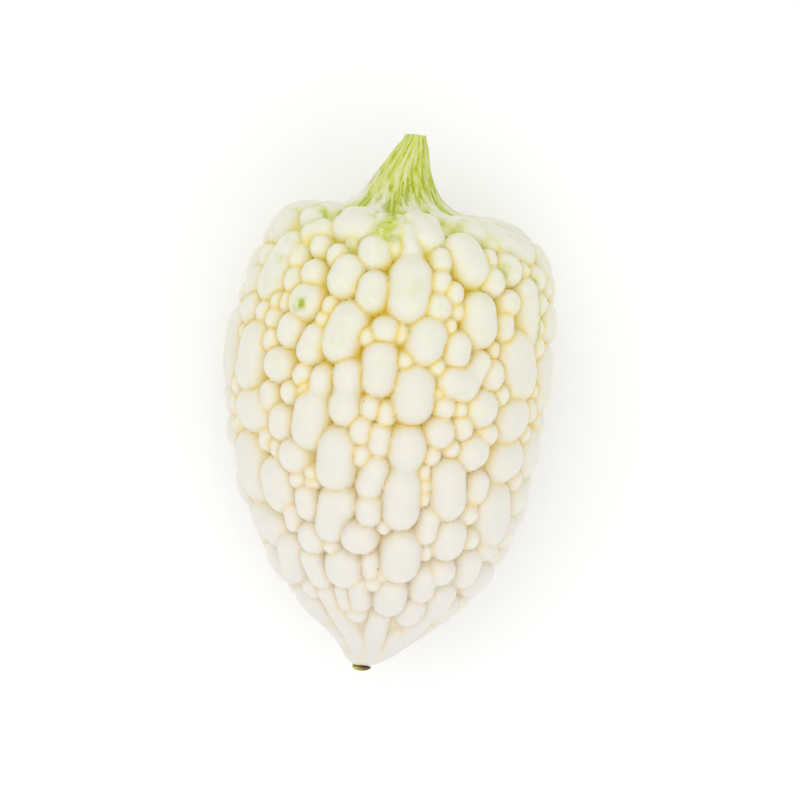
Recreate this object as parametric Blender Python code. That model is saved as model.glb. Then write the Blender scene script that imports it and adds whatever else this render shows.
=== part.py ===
"""Bitter melon of the short white kind, lying on its side as picked.

The fruit, its stem and the dry blossom scar at its tip are three solids on one axis. The fruit is
first described standing, in millimetres: across, along from the tip to the cut stem, and out
towards the side that faces up once it lies. lay_down turns it onto the surface, in metres.
"""

import math

import bmesh
import bpy
import numpy as np

MM = 0.001

# Places on the axis, in mm along it from the tip
STEM_FOOT = 118.3
TIP_DISC = 0.7
JOINT_GAP = 0.3
SCAR_HEIGHT = 1.1

# Outline over the wart tops, as (along, radius) in mm from the tip to the cut stem
OUTLINE = (
    (0.0, 0.0), (0.5, 1.8), (2.2, 4.9), (6.2, 9.3), (10.3, 14.5), (20.0, 24.6), (31.5, 32.0), (47.0, 37.5),
    (63.0, 40.4), (75.0, 41.5), (91.0, 40.5), (105.5, 36.7), (110.8, 33.6), (114.4, 29.2), (115.9, 23.6),
    (115.7, 18.5), (116.6, 14.4), (118.6, 11.2), (121.6, 9.0), (125.0, 7.0), (129.2, 5.1), (134.7, 3.0),
)

# Sideways bend of the axis, as (along, across) in mm: the tip hooks to the left
BEND = (
    (0.0, 0.0), (6.0, 2.0), (14.0, 2.4), (27.0, 2.0), (48.0, 0.5), (80.0, -0.6), (110.0, 0.6), (118.0, -1.5),
    (134.7, 0.7),
)

# Depth of the creases below the outline, as (up, depth) in mm, up being measured along the outline
CREASE_DEPTH = (
    (0.0, 0.0), (4.0, 0.4), (10.0, 1.2), (20.0, 2.7), (32.0, 4.2), (45.0, 5.2), (118.0, 5.2), (128.0, 4.6),
    (138.0, 2.8), (148.0, 1.6), (158.0, 0.8), (167.0, 0.5),
)

# Warts on the upper side as they look from above, each (around, up, wide, long, lean): mm round from
# the middle line, mm up the outline from the tip, width, length, and lean in degrees to the right
UPPER_WARTS = (
    # Shoulder
    (-24.3, 125.5, 4.6, 6.6, 20), (-13.5, 123.8, 2.0, 2.0, 0), (-29.7, 107.2, 3.2, 4.5, 0),
    (-22.4, 122.0, 5.0, 5.6, 10), (-23.6, 114.8, 6.6, 6.8, 0), (-17.4, 120.0, 5.0, 5.6, 0),
    (-17.2, 107.3, 3.0, 4.0, 0), (14.8, 109.0, 2.6, 3.0, 0), (13.6, 105.2, 2.6, 3.0, 0),
    # Upper belly
    (-12.2, 101.5, 9.6, 15.2, 12), (-26.6, 100.5, 7.4, 8.8, 0),
    (-32.8, 102.6, 4.7, 5.2, 0), (-32.2, 97.2, 4.6, 5.6, 0), (-19.8, 97.7, 6.7, 10.4, 20),
    (-2.0, 103.0, 6.8, 5.9, 0), (8.6, 101.3, 9.7, 12.2, 12),
    (16.8, 99.6, 7.0, 9.0, 0), (-28.9, 91.6, 9.4, 8.6, 0), (-21.6, 90.1, 4.6, 5.6, 35),
    (-2.0, 93.6, 8.7, 13.6, 0), (1.8, 102.5, 2.5, 3.5, 0), (13.0, 89.0, 2.4, 2.2, 0),
    # Belly
    (-31.4, 83.4, 5.4, 7.8, 0), (-25.0, 85.3, 4.7, 5.2, 0), (-27.2, 77.6, 7.0, 8.8, 10),
    (-32.0, 72.9, 4.3, 5.8, 20), (-23.0, 69.8, 8.8, 8.8, 0),
    (-11.5, 70.2, 10.2, 16.2, 6), (-5.5, 78.2, 5.2, 6.4, 0), (-3.5, 83.9, 4.0, 5.0, 0),
    (0.4, 82.8, 3.5, 5.0, 0), (-0.8, 76.3, 5.1, 7.4, 0), (-4.9, 72.1, 4.0, 4.9, 0),
    (-2.2, 66.8, 6.3, 11.2, 18), (7.0, 88.1, 10.7, 14.6, 0), (14.9, 85.6, 5.2, 5.2, 0),
    (25.2, 85.9, 10.0, 9.6, 0), (14.2, 79.3, 7.6, 7.4, 0), (20.2, 81.1, 4.8, 6.0, -25),
    (23.6, 74.9, 9.6, 8.6, -30), (17.4, 65.2, 9.6, 16.4, -11), (25.6, 66.0, 6.3, 8.4, 5),
    (-20.8, 86.5, 2.5, 4.0, 25), (-28.7, 71.0, 2.8, 4.0, 0), (-17.9, 66.0, 2.8, 2.5, 0),
    (-17.6, 63.8, 3.2, 1.8, 0), (12.5, 73.5, 3.5, 4.0, 30), (10.8, 69.0, 2.0, 3.0, 0),
    (10.9, 66.0, 2.0, 3.0, 0), (10.9, 62.8, 2.0, 3.3, 0), (24.5, 62.6, 3.0, 2.2, 0),
    # Lower belly
    (-28.2, 61.4, 10.8, 14.6, -4), (-19.0, 58.2, 5.9, 8.8, 0),
    (-2.8, 58.4, 6.2, 8.2, 0), (1.0, 54.3, 2.2, 2.8, 0), (11.8, 48.0, 2.2, 3.5, 0),
    (-23.4, 53.8, 4.5, 8.0, 5), (-17.6, 48.8, 7.7, 8.5, 0),
    (-5.2, 50.6, 9.6, 8.4, 0), (12.2, 55.4, 4.8, 9.2, 5), (18.0, 52.0, 9.7, 11.8, 0),
    (5.4, 46.2, 10.3, 15.0, 0), (24.4, 43.8, 8.0, 12.2, -15), (1.0, 40.7, 2.0, 3.5, 0),
    (-16.6, 40.0, 6.2, 11.8, -8), (-9.0, 41.0, 9.8, 11.4, 0),
    (-2.1, 42.8, 3.6, 6.8, 0), (11.6, 38.4, 6.4, 11.0, -8), (16.2, 42.6, 8.0, 7.6, 0),
    # Blossom end
    (3.2, 33.2, 8.2, 12.0, 0), (16.7, 32.8, 8.3, 12.5, -13), (9.0, 28.4, 6.6, 9.4, -5),
    (-4.6, 33.6, 4.8, 11.0, 0), (-12.4, 30.4, 4.8, 9.4, -6), (-8.5, 31.5, 3.0, 8.0, 0),
    (-6.2, 18.8, 5.6, 20.0, -10), (0.8, 16.4, 4.6, 20.0, -2), (8.0, 15.6, 5.4, 17.0, 8),
    (-13.0, 18.4, 6.2, 14.0, -12),
)

# Warts that have grown together: lobes of one wart, each as above
JOINED_WARTS = (
    ((1.9, 113.6, 10.9, 16.8, -3), (1.4, 126.5, 4.8, 11.0, 0)),
    ((-12.3, 55.8, 7.8, 14.6, 16), (-9.0, 59.6, 5.6, 6.4, 0)),
    ((-9.6, 91.0, 7.4, 8.4, 0), (-9.9, 83.2, 7.9, 8.4, 0)),
    ((-18.9, 79.2, 9.4, 14.8, 12), (-16.3, 89.4, 5.7, 7.0, 10)),
    ((18.0, 91.5, 8.0, 11.6, 100), (23.2, 96.0, 5.4, 7.8, 30)),
    ((6.2, 74.9, 9.6, 10.8, 0), (5.3, 61.8, 9.5, 15.8, 0)),
)

# Warts at the shoulder and at the edges of that view, each (turn, up, wide, long, lean), the turn
# in degrees
EDGE_WARTS = (
    # Shoulder
    (-23.5, 131.0, 12.0, 9.5, 0), (11.0, 130.6, 9.0, 10.5, 5), (-5.0, 125.7, 3.4, 5.4, 0),
    (-10.0, 133.0, 3.8, 13.0, 6), (-2.5, 133.5, 3.6, 12.0, 3),
    (-13.0, 123.0, 8.4, 9.2, 0), (-11.2, 112.4, 7.6, 10.1, 0), (-23.2, 115.6, 8.6, 11.4, 12),
    (-48.0, 118.9, 5.4, 7.0, -20), (-46.0, 112.9, 5.8, 6.8, -15), (-37.0, 108.0, 9.8, 9.6, 0),
    (15.0, 122.4, 4.3, 6.2, 0), (14.8, 116.2, 4.6, 5.9, 0), (20.0, 113.6, 4.9, 5.5, 0),
    (14.8, 109.8, 6.4, 6.7, 0),
    # Left edge
    (-74.0, 127.5, 13.0, 12.0, 0), (-43.0, 127.1, 10.0, 6.0, -32), (-58.0, 116.0, 11.5, 20.0, 16),
    (-86.0, 115.3, 8.0, 11.0, 0), (-86.0, 107.4, 7.5, 6.5, 0), (-80.0, 94.0, 11.0, 23.0, 8),
    (-60.0, 92.2, 12.2, 19.5, 15), (-58.0, 78.9, 16.0, 11.4, 0), (-68.0, 63.5, 19.0, 20.0, 8),
    (-63.0, 48.9, 16.0, 11.0, 24), (-54.0, 40.0, 9.0, 16.5, 26), (-73.0, 37.0, 12.0, 13.5, -5),
    (-65.0, 24.0, 11.0, 14.0, 14),
    # Right edge
    (27.5, 123.8, 9.5, 15.6, -12), (43.0, 128.5, 4.0, 4.3, 0), (38.0, 123.9, 3.8, 5.3, 7),
    (37.5, 117.6, 7.0, 7.3, -9), (47.5, 121.4, 8.0, 8.8, -6), (58.0, 129.5, 20.0, 12.0, 25),
    (78.0, 123.5, 9.0, 13.0, 0), (77.0, 117.3, 6.5, 7.5, 0), (58.0, 110.2, 8.0, 18.0, -10),
    (77.0, 107.4, 10.0, 11.0, -10), (46.0, 112.1, 6.6, 6.6, -11), (45.0, 106.2, 4.6, 7.1, -7),
    (32.5, 107.4, 9.7, 14.0, -15), (41.0, 100.1, 2.0, 3.3, 0), (56.0, 96.3, 14.0, 19.5, -28),
    (79.0, 92.8, 12.0, 20.0, -10), (41.0, 94.0, 7.0, 7.8, -15), (69.0, 84.9, 4.0, 6.5, -40),
    (78.0, 81.2, 5.0, 6.0, 0), (55.5, 82.9, 13.4, 12.0, -27), (42.0, 78.9, 6.4, 5.6, -15),
    (56.0, 72.2, 14.0, 11.0, -19), (77.0, 73.8, 13.0, 14.5, -15), (75.0, 62.0, 11.0, 10.0, -10),
    (57.0, 57.5, 14.0, 19.5, -32), (73.0, 52.8, 9.0, 9.5, -10), (59.0, 47.9, 9.5, 6.0, 7),
    (70.0, 37.8, 12.0, 10.5, 0), (62.0, 26.3, 7.0, 12.0, -40), (43.0, 20.5, 6.5, 13.0, 0),
    (47.0, 12.0, 7.5, 15.0, -28),
)

# How the others are read: the creases lie this share of their depth under the outline, and the
# view from above looks down this much towards the tip, and sees no wart past this sine of the turn
SEEN_DEPTH = 0.5
VIEW_PITCH = math.radians(5.0)
SEEN_LIMIT = 0.985

# Ribs round the stem: turn in degrees, and mm up the outline where each begins and ends. The long
# ones climb the stem, and the short ones between them die out at its foot
LONG_RIB_END = 166.0
SHORT_RIB_END = 141.0
STEM_RIBS = (
    (-76.0, 134.5, LONG_RIB_END), (-51.0, 133.0, SHORT_RIB_END), (-25.0, 132.0, LONG_RIB_END),
    (11.5, 132.0, LONG_RIB_END), (39.0, 132.5, LONG_RIB_END), (57.0, 137.0, SHORT_RIB_END),
    (82.0, 133.0, LONG_RIB_END), (105.0, 129.0, SHORT_RIB_END), (129.0, 126.0, LONG_RIB_END),
    (152.0, 130.0, SHORT_RIB_END), (176.0, 128.0, LONG_RIB_END), (-154.0, 129.5, SHORT_RIB_END),
    (-128.0, 126.5, LONG_RIB_END), (-102.0, 129.5, SHORT_RIB_END),
)
RIB_WIDTHS = ((127.0, 8.4), (138.0, 6.4), (148.0, 3.6), (166.0, 1.8))
RIB_STEP = 6.0

# Warts under the weight, which the fruit rests on: mm along to the middle of them, and each one's
# (around, up, wide, long, lean) from there
REST_ALONG = 62.5
REST_WARTS = (
    (-6.8, -7.0, 11.5, 14.0, 6), (6.6, -8.6, 12.0, 12.5, -8),
    (-6.4, 8.4, 12.0, 13.5, -5), (6.9, 6.8, 11.0, 15.0, 10),
)

# Warts on the underside, drawn at random with a fixed seed: the turn in degrees where they begin,
# how far up the outline they lie, and their widths on the belly from the first drawn to the last
UNDER_SEED = 7
UNDER_TRIES = 5000
UNDER_EDGE = 58.0
UNDER_SPAN = (26.0, 124.0)
UNDER_WIDTHS = (12.0, 4.5)
UNDER_ROOM = 0.47

# Long low ridges that run into the tip on the underside
TIP_RIDGES = 9
RIDGE_SPAN = (5.0, 24.0)
RIDGE_HALF_WIDTH = 2.4

# Small round warts that fill what gaps are left, in mm up the outline, and the least gap that gets one
GAP_SPAN = (24.0, 124.0)
LEAST_GAP = 1.5
GAP_FILL = 1.12

# Softness of the corners where lobes of a wart meet, in mm, and how far a wart is felt
CORNER_SOFTNESS = 1.1
WART_REACH = 4.0

# Shape of the domes: how far they run on under each other, where their even slope begins, the width
# from which they are of full height, and how much the narrower ones rise and drop
OVERLAP = 0.8
RIM_START = 0.93
FULL_HEIGHT_WIDTH = 8.5
HEIGHT_POWER = 0.8
SMALL_DROP = 0.6
CREASE_SOFTNESS = 0.03

# How the fruit lies: stem end raised, the middle of its box over the origin, its axis at the tip
# this high, and skin this close to the surface pressed flat on it
LIE_TILT = math.radians(8.0)
CENTRE_ACROSS = 0.65
CENTRE_ALONG = -66.3
REST_HEIGHT = 29.8
PRESSED = 0.15

# Fine grid that takes the relief, and the triangles that are left where they shape it best
FRUIT_SEGMENTS = 400
FRUIT_RINGS = 200
FRUIT_TRIANGLES = 11600
STEM_SEGMENTS = 160
STEM_RINGS = 40
STEM_TRIANGLES = 2400
SCAR_SEGMENTS = 20
SCAR_RINGS = 8

outline = np.array(OUTLINE)
bend = np.array(BEND)
crease_depth = np.array(CREASE_DEPTH)
outline_up = np.concatenate([[0.0], np.cumsum(np.hypot(*np.diff(outline, axis=0).T))])


def smooth_curve(at, knots, values):
    """A cubic through the knots, whose slope at each is that of the chord between its neighbours."""
    slopes = np.gradient(values, knots)
    i = np.clip(np.searchsorted(knots, at) - 1, 0, len(knots) - 2)
    span = knots[i + 1] - knots[i]
    f = (np.clip(at, knots[0], knots[-1]) - knots[i]) / span
    start = (1 + 2 * f) * (1 - f) ** 2 * values[i] + f * (1 - f) ** 2 * span * slopes[i]
    end = f * f * (3 - 2 * f) * values[i + 1] - f * f * (1 - f) * span * slopes[i + 1]
    return start + end


def radius_at(up):
    return np.maximum(smooth_curve(up, outline_up, outline[:, 1]), 0.0)


def along_at(up):
    return smooth_curve(up, outline_up, outline[:, 0])


def up_at(along):
    """Way up the outline to the first place that is as far along the axis."""
    steps = np.linspace(0.0, outline_up[-1], 4000)
    return float(steps[np.argmax(along_at(steps) >= along)])


def outline_point(turn, up):
    """Point over the wart tops: the outline's radius at that turn round the bent axis."""
    turn, up = np.broadcast_arrays(np.asarray(turn, float), np.asarray(up, float))
    along = along_at(up)
    radius = radius_at(up)
    across = smooth_curve(along, bend[:, 0], bend[:, 1]) + radius * np.sin(turn)
    return np.stack([across, along, radius * np.cos(turn)], axis=-1)


def outline_normal(turn, up):
    """Outward direction: the outline's tangent turned a quarter, then carried round the axis."""
    step = 0.2
    lift = along_at(up + step) - along_at(up - step)
    spread = radius_at(up + step) - radius_at(up - step)
    size = np.hypot(lift, spread)
    outward, forward = lift / size, -spread / size
    return np.stack([outward * np.sin(turn), forward, outward * np.cos(turn)], axis=-1)


def lobe(around, up, wide, long, lean):
    """One lobe of a wart: the two ends of its spine, and its half width."""
    turn_per_mm = 1.0 / float(radius_at(np.array(up)))
    narrow = min(wide, long)
    half = abs(long - wide) / 2
    lean = math.radians(lean if long >= wide else lean + 90.0)
    step = np.array([half * math.sin(lean), half * math.cos(lean)])
    ends = [outline_point((around + k * step[0]) * turn_per_mm, up + k * step[1]) for k in (-1, 1)]
    return ends[0], ends[1], narrow / 2


def seen_lobe(around, up, wide, long, lean):
    """A lobe given by where it is seen from above, set where it really is.

    Its foot lies at the depth of the creases, which look nearer the middle of the view than the
    outline over them does, by the depth times the sine of the slope there. It is moved back out by
    as much along the skin, round the fruit and along it.
    """
    depth = SEEN_DEPTH * float(np.interp(up, crease_depth[:, 0], crease_depth[:, 1]))
    radius = float(radius_at(np.array(up)))
    sine = math.sin(around / radius) * radius / (radius - depth)
    turn = math.asin(np.clip(sine, -SEEN_LIMIT, SEEN_LIMIT))
    _, forward, outward = outline_normal(0.0, np.array(up))
    climb = math.atan2(forward, outward) - VIEW_PITCH
    return lobe(turn * radius, up + depth * math.tan(climb), wide, long, lean)


def edge_lobe(turn, up, wide, long, lean):
    return lobe(math.radians(turn) * float(radius_at(np.array(up))), up, wide, long, lean)


def rib(turn, begin, end):
    """One rib of the stem: short lobes end to end along the outline, narrower as they climb."""
    marks = np.linspace(begin, end, max(3, round((end - begin) / RIB_STEP)))
    widths = np.interp(marks, *np.array(RIB_WIDTHS).T)
    turn = math.radians(turn)
    return [
        (outline_point(turn, low), outline_point(turn, high), width / 2)
        for low, high, width in zip(marks, marks[1:], widths)
    ]


def distance_to_lobes(points, lobes):
    """Distance from each point, down, to each lobe, across, less its half width: below zero inside."""
    starts, ends, half_widths = (np.array(part) for part in zip(*lobes))
    runs = ends - starts
    away = points[:, None] - starts
    share = np.sum(away * runs, axis=2) / np.maximum(np.sum(runs**2, axis=1), 1e-9)
    return np.linalg.norm(away - np.clip(share, 0.0, 1.0)[..., None] * runs, axis=2) - half_widths


def distance_to_wart(points, lobes):
    """Least distance to a wart's lobes, smoothed where they meet."""
    nearness = np.exp(-distance_to_lobes(points, lobes) / CORNER_SOFTNESS).sum(axis=1)
    return -CORNER_SOFTNESS * np.log(np.maximum(nearness, 1e-280))


def tip_ridges():
    """The ridges at the tip, evenly round the part that the listed warts leave free."""
    turns = np.radians(np.linspace(UNDER_EDGE + 10.0, 350.0 - UNDER_EDGE, TIP_RIDGES))
    low, high = RIDGE_SPAN
    return [[(outline_point(turn, low), outline_point(turn, high), RIDGE_HALF_WIDTH)] for turn in turns]


def rest_warts():
    """The warts on the lowest line, which is half a turn from the middle line of the upper side."""
    warts = []
    for around, forward, *size in REST_WARTS:
        up = up_at(REST_ALONG) + forward
        lowest = math.pi * float(radius_at(np.array(up)))
        warts.append([lobe(lowest + around, up, *size)])
    return warts


def underside_warts(warts):
    """Warts thrown at the unseen side, the largest first, each kept where it fits between the rest."""
    draw = np.random.default_rng(UNDER_SEED)
    lobes = [spine for wart in warts for spine in wart]
    listed = len(lobes)
    for attempt in range(UNDER_TRIES):
        up = draw.uniform(*UNDER_SPAN)
        radius = float(radius_at(np.array(up)))
        turn = math.radians(draw.uniform(UNDER_EDGE, 360.0 - UNDER_EDGE))
        wide = np.interp(attempt, (0, UNDER_TRIES), UNDER_WIDTHS) * draw.uniform(0.85, 1.1)
        wide *= (radius / outline[:, 1].max()) ** 0.4
        long = wide * draw.uniform(1.0, 1.7)
        spine = lobe(turn * radius, up, wide, long, draw.uniform(-22.0, 22.0))
        checks = np.array([spine[0] + k * (spine[1] - spine[0]) for k in (0.0, 0.5, 1.0)])
        if distance_to_lobes(checks, lobes).min() > UNDER_ROOM * wide:
            lobes.append(spine)
    return [[spine] for spine in lobes[listed:]]


def gap_warts(warts):
    """Small round warts, each in the middle of the widest gap that is left, as wide as that gap."""
    turn, up = np.meshgrid(np.radians(np.arange(-180.0, 180.0, 1.5)), np.arange(*GAP_SPAN, 1.0))
    places = outline_point(turn, up).reshape(-1, 3)
    room = np.min([distance_to_wart(places, wart) for wart in warts], axis=0)
    added = []
    while room.max() > LEAST_GAP:
        widest = int(np.argmax(room))
        wart = [(places[widest], places[widest], GAP_FILL * room[widest])]
        added.append(wart)
        room = np.minimum(room, distance_to_wart(places, wart))
    return added


def all_warts():
    warts = [[seen_lobe(*size)] for size in UPPER_WARTS]
    warts += [[seen_lobe(*size) for size in joined] for joined in JOINED_WARTS]
    warts += [[edge_lobe(*size)] for size in EDGE_WARTS]
    warts += [rib(*place) for place in STEM_RIBS]
    warts += tip_ridges()
    warts += rest_warts()
    warts += underside_warts(warts)
    return warts + gap_warts(warts)


def relief(points, warts):
    """How far each point lies under the outline, as a share of the crease depth there.

    Each wart is a dome whose depth under the outline is top + rise * (1 - sqrt(1 - x * x)), where
    x goes from 0 on its spine to 1 a little past its edge, and which goes on down at an even slope
    from RIM_START on. The skin is the highest of the domes, or the floor at a share of 1, with the
    creases where they meet a little rounded. Narrow warts rise less and stand lower.
    """
    total = np.full(len(points), math.exp(-1.0 / CREASE_SOFTNESS))
    rim_slope = RIM_START / math.sqrt(1 - RIM_START**2)
    for wart in warts:
        centre = np.mean([spine[0] + spine[1] for spine in wart], axis=0) / 2
        reach = max(np.linalg.norm(spine[0] - centre) + spine[2] for spine in wart) + WART_REACH
        near = np.flatnonzero(np.linalg.norm(points - centre, axis=1) < reach)
        half_width = max(spine[2] for spine in wart)
        x = np.maximum(distance_to_wart(points[near], wart) + half_width, 0.0) / (half_width + OVERLAP)
        inner = np.minimum(x, RIM_START)
        fall = 1 - np.sqrt(1 - inner**2) + (x - inner) * rim_slope
        rise = min(1.0, (2 * half_width / FULL_HEIGHT_WIDTH) ** HEIGHT_POWER)
        total[near] += np.exp(-((1 - rise) * SMALL_DROP + rise * fall) / CREASE_SOFTNESS)
    return np.maximum(-CREASE_SOFTNESS * np.log(total), 0.0)


def skin_point(turn, up, warts):
    """Point of the warty skin: the outline, let in by the relief there."""
    points = outline_point(turn, up)
    sink = np.interp(up, crease_depth[:, 0], crease_depth[:, 1]) * relief(points, warts)
    return points - sink[:, None] * outline_normal(turn, up)


def lay_down(points):
    """Turn the stem end up from level, set the fruit on the surface and press its underside flat."""
    across, along, out = points.T
    forward = along * math.cos(LIE_TILT) - out * math.sin(LIE_TILT) + CENTRE_ALONG
    height = along * math.sin(LIE_TILT) + out * math.cos(LIE_TILT) + REST_HEIGHT
    return np.stack([across + CENTRE_ACROSS, forward, np.maximum(height, 0.0)], axis=1) * MM


def sphere_body(name, segments, rings, place, material, collection):
    """A UV sphere whose every vertex is placed by its turn and its ring, counted from the tip."""
    bm = bmesh.new()
    bmesh.ops.create_uvsphere(bm, u_segments=segments, v_segments=rings, radius=1.0)
    mesh = bpy.data.meshes.new(name)
    bm.to_mesh(mesh)
    bm.free()
    sphere = np.empty(len(mesh.vertices) * 3)
    mesh.vertices.foreach_get("co", sphere)
    x, y, z = sphere.reshape(-1, 3).T
    ring = np.round(np.arccos(np.clip(-z, -1, 1)) / math.pi * rings)
    mesh.vertices.foreach_set("co", lay_down(place(np.arctan2(x, -y), ring)).ravel())
    mesh.shade_smooth()
    mesh.set_sharp_from_angle(angle=math.radians(60.0))
    mesh.materials.append(material)
    body = bpy.data.objects.new(name, mesh)
    collection.objects.link(body)
    return body


def thin_out(body, triangles):
    """Collapse edges where the skin is even, which leaves the triangles along creases and crowns.

    The spot that it rests on is pressed flat again afterwards.
    """
    cut = body.modifiers.new("thin out", "DECIMATE")
    cut.ratio = triangles / sum(len(face.vertices) - 2 for face in body.data.polygons)
    cut.use_collapse_triangulate = True
    thinned = bpy.data.meshes.new_from_object(body.evaluated_get(bpy.context.evaluated_depsgraph_get()))
    body.modifiers.remove(cut)
    places = np.empty(len(thinned.vertices) * 3)
    thinned.vertices.foreach_get("co", places)
    height = places[2::3]
    height[height < PRESSED * MM] = 0.0
    thinned.vertices.foreach_set("co", places)
    body.data = thinned


def skin_between(first, last, rings, warts):
    """Places rings on the skin between two places up the outline, and closes both ends with flat discs."""
    def place(turn, ring):
        up = first + np.clip((ring - 1) / (rings - 2), 0, 1) * (last - first)
        points = skin_point(turn, up, warts)
        for end, rim in ((0, first), (rings, last)):
            pole = ring == end
            points[pole] = outline_point(0.0, rim) * (1, 1, 0)
            points[pole, 0] = np.interp(float(along_at(rim)), bend[:, 0], bend[:, 1])
        return points
    return place


def material_of(name, colour, roughness):
    material = bpy.data.materials.new(name)
    material.use_nodes = True
    shader = material.node_tree.nodes["Principled BSDF"]
    shader.inputs["Base Color"].default_value = (*colour, 1.0)
    shader.inputs["Roughness"].default_value = roughness
    shader.inputs["Metallic"].default_value = 0.0
    return material


def make_fruit(collection, warts):
    """The pod itself, from the disc under the blossom scar to the disc under the stem."""
    skin = material_of("melon skin", (0.84, 0.80, 0.62), 0.38)
    place = skin_between(up_at(TIP_DISC), up_at(STEM_FOOT), FRUIT_RINGS, warts)
    thin_out(sphere_body("fruit", FRUIT_SEGMENTS, FRUIT_RINGS, place, skin, collection), FRUIT_TRIANGLES)


def make_stem(collection, warts):
    """The ribbed stem, from its flared foot on the fruit to the cut."""
    green = material_of("stem skin", (0.47, 0.52, 0.17), 0.5)
    place = skin_between(up_at(STEM_FOOT + JOINT_GAP), outline_up[-1], STEM_RINGS, warts)
    thin_out(sphere_body("stem", STEM_SEGMENTS, STEM_RINGS, place, green, collection), STEM_TRIANGLES)


def make_scar(collection):
    """The dry scar that the blossom left: a low button on the tip, with a lobed rim."""
    brown = material_of("dry scar", (0.27, 0.20, 0.07), 0.8)
    seat = TIP_DISC - JOINT_GAP
    rim = float(radius_at(up_at(TIP_DISC)))

    def place(turn, ring):
        level = np.clip((SCAR_RINGS - 1 - ring) / (SCAR_RINGS - 2), 0, 1)
        radius = rim * (1 + 0.08 * np.sin(5 * turn)) * np.sqrt(1 - 0.96 * level**2)
        radius = np.where((ring == 0) | (ring == SCAR_RINGS), 0.0, radius)
        return np.stack([radius * np.sin(turn), seat - SCAR_HEIGHT * level, radius * np.cos(turn)], axis=1)

    sphere_body("blossom_scar", SCAR_SEGMENTS, SCAR_RINGS, place, brown, collection)


for old in list(bpy.data.objects):
    bpy.data.objects.remove(old)
bitter_melon = bpy.data.collections.new("bitter_melon")
bpy.context.scene.collection.children.link(bitter_melon)
melon_warts = all_warts()
make_fruit(bitter_melon, melon_warts)
make_stem(bitter_melon, melon_warts)
make_scar(bitter_melon)
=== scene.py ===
"""Looks of a short white bitter melon that lies on its side.

The pod, the stem and the blossom scar are built in that order, each as a surface worked out with
numpy in the same frame as the solids. Lengths are in millimetres until lay_down, which turns the
standing melon onto the surface and gives metres.
"""

import math

import bpy
import numpy as np
from mathutils import Matrix, Vector


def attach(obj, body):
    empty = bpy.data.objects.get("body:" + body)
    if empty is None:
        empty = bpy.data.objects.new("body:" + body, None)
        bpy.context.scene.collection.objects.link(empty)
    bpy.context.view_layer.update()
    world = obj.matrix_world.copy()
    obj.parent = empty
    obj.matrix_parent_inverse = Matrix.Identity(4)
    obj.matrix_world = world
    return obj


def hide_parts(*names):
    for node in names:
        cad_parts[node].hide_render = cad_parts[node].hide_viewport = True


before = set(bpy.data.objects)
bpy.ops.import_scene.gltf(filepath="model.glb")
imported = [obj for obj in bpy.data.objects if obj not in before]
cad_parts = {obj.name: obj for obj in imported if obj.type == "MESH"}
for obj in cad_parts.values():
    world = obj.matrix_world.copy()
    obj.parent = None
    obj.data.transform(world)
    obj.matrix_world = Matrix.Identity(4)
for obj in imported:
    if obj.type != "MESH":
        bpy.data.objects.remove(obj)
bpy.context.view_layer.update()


# Pod of the melon: thick pale flesh under a thin waxy skin, swollen into warts that crowd each
# other and leave narrow creases between them. It narrows to ridges at the tip and flares into the
# ribs of the stem at the shoulder.

# Outline over the wart tops, as (along, radius) in mm from the tip to the cut stem
OUTLINE = (
    (0.0, 0.0), (0.5, 1.8), (2.2, 4.9), (6.2, 9.3), (10.3, 14.5), (20.0, 24.6), (31.5, 32.0), (47.0, 37.5),
    (63.0, 40.4), (75.0, 41.5), (91.0, 40.5), (105.5, 36.7), (110.8, 33.6), (114.4, 29.2), (115.9, 23.6),
    (115.7, 18.5), (116.6, 14.4), (118.6, 11.2), (121.6, 9.0), (125.0, 7.0), (129.2, 5.1), (134.7, 3.0),
)

# Sideways bend of the axis, as (along, across) in mm: the tip hooks to the left
BEND = (
    (0.0, 0.0), (6.0, 2.0), (14.0, 2.4), (27.0, 2.0), (48.0, 0.5), (80.0, -0.6), (110.0, 0.6), (118.0, -1.5),
    (134.7, 0.7),
)

# Depth of the creases below the outline, as (up, depth) in mm, up being measured along the outline
CREASE_DEPTH = (
    (0.0, 0.0), (4.0, 0.4), (10.0, 1.2), (20.0, 2.7), (32.0, 4.2), (45.0, 5.2), (118.0, 5.2), (128.0, 4.6),
    (138.0, 2.8), (148.0, 1.6), (158.0, 0.8), (167.0, 0.5),
)

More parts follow.
